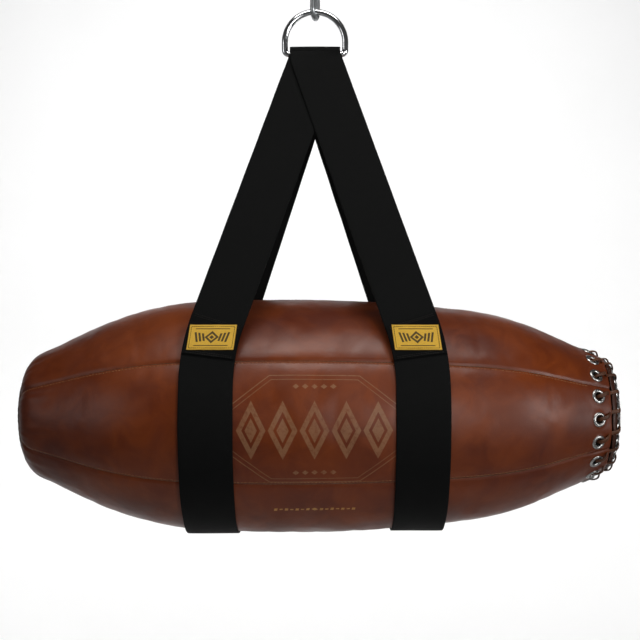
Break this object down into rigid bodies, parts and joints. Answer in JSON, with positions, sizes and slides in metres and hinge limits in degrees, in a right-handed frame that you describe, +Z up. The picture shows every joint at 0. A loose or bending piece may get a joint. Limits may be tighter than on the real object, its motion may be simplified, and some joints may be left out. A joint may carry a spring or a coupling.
{
  "type": "horizontal heavy punching bag",
  "caption": "Leather barrel-shaped heavy bag hung level in two webbing slings from a steel D-ring, with a laced end.",
  "frame": {"origin": "middle of the upper bend of the hanging link, where a hook takes the weight", "axes": "+Z up, +X along the bag to its laced end, -Y the front with the labels"},
  "size_m": [0.9016, 0.3548, 0.856],
  "materials": {
    "cover_leather": "gloss",
    "end_leather": "gloss",
    "facing_leather": "matte",
    "lace_leather": "satin",
    "webbing": "matte",
    "label_cloth": "satin",
    "label_thread": "satin",
    "black_thread": "satin",
    "chrome_steel": "polished",
    "zinc_steel": "satin",
    "nickel_brass": "polished",
    "canvas": "matte",
    "foam": "matte",
    "textile": "matte",
    "board": "matte"
  },
  "bodies": {
    "link": {"hanging_link": "zinc_steel"},
    "ring": {"d_ring": "chrome_steel"},
    "sling": {"left_strap": "webbing", "right_strap": "webbing", "left_label": "label_cloth", "right_label": "label_cloth", "label_stitching": "label_thread", "lap_stitching": "black_thread"},
    "bag": {"body_eyelets": "nickel_brass", "body_washers": "nickel_brass", "cap_backing": "board", "cap_eyelets": "nickel_brass", "cap_washers": "nickel_brass", "closure_cap": "end_leather", "fill_sack": "canvas", "foam_wrap": "foam", "hem_facing": "facing_leather", "lace": "lace_leather", "lace_knots": "lace_leather", "leather_panel_back": "cover_leather", "leather_panel_front": "cover_leather", "leather_panel_lower_back": "cover_leather", "leather_panel_lower_front": "cover_leather", "leather_panel_upper_back": "cover_leather", "leather_panel_upper_front": "cover_leather", "left_end_disc": "end_leather", "left_end_pad": "foam", "lining": "canvas", "right_end_pad": "foam", "seam_tapes": "canvas", "textile_fill": "textile"}
  },
  "joints": [
    {"name": "ring_swing", "type": "hinge", "parent": "link", "child": "ring", "pos_m": [0, 0, -0.061], "axis": [0, 1, 0], "range_deg": [-70, 70]},
    {"name": "sling_swing", "type": "hinge", "parent": "ring", "child": "sling", "pos_m": [0, 0, -0.11555], "axis": [1, 0, 0], "range_deg": [-90, 90]},
    {"name": "bag_roll", "type": "hinge", "parent": "sling", "child": "bag", "pos_m": [0, 0, -0.66155], "axis": [1, 0, 0], "continuous": true}
  ]
}
